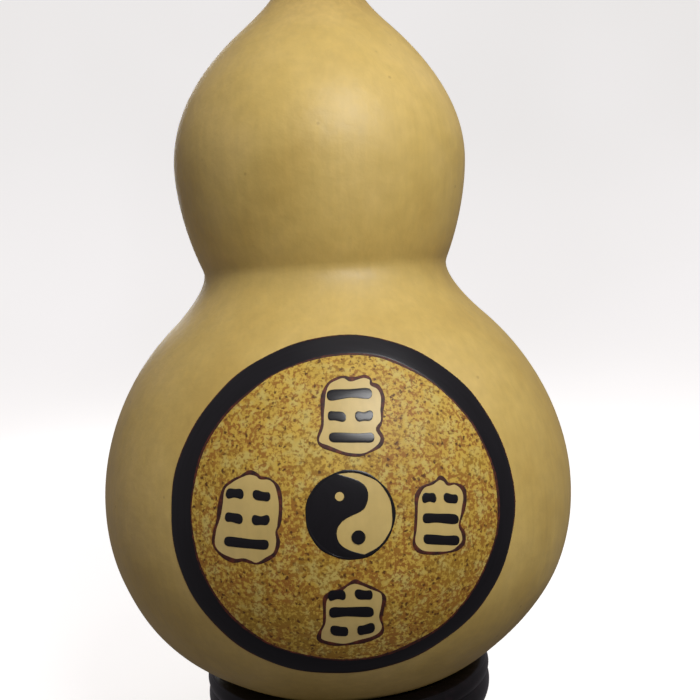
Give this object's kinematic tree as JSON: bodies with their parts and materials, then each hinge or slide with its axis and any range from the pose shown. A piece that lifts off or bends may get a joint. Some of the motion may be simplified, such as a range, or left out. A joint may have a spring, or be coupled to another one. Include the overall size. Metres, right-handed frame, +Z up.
{
  "type": "dried bottle gourd on a turned stand",
  "caption": "Dried bottle gourd with a wide belly, waist, upper bulb and ribbed stem, resting upright in a dished dark turned wooden stand.",
  "frame": {"origin": "on the surface that the stand rests on, under the middle of the gourd's belly", "axes": "+Z up through the gourd from stand to stem, -Y towards the viewer and through the decorated face, +X to the viewer's right"},
  "size_m": [0.18, 0.1778, 0.384],
  "materials": {
    "gourd_skin": "dry, smooth and slightly waxy gourd skin, with a design in black lacquer and burned stipple on its belly",
    "stand_wood": "turned hardwood stained nearly black, satin"
  },
  "bodies": {
    "root": {"gourd": "gourd_skin", "stand": "stand_wood"}
  },
  "joints": []
}
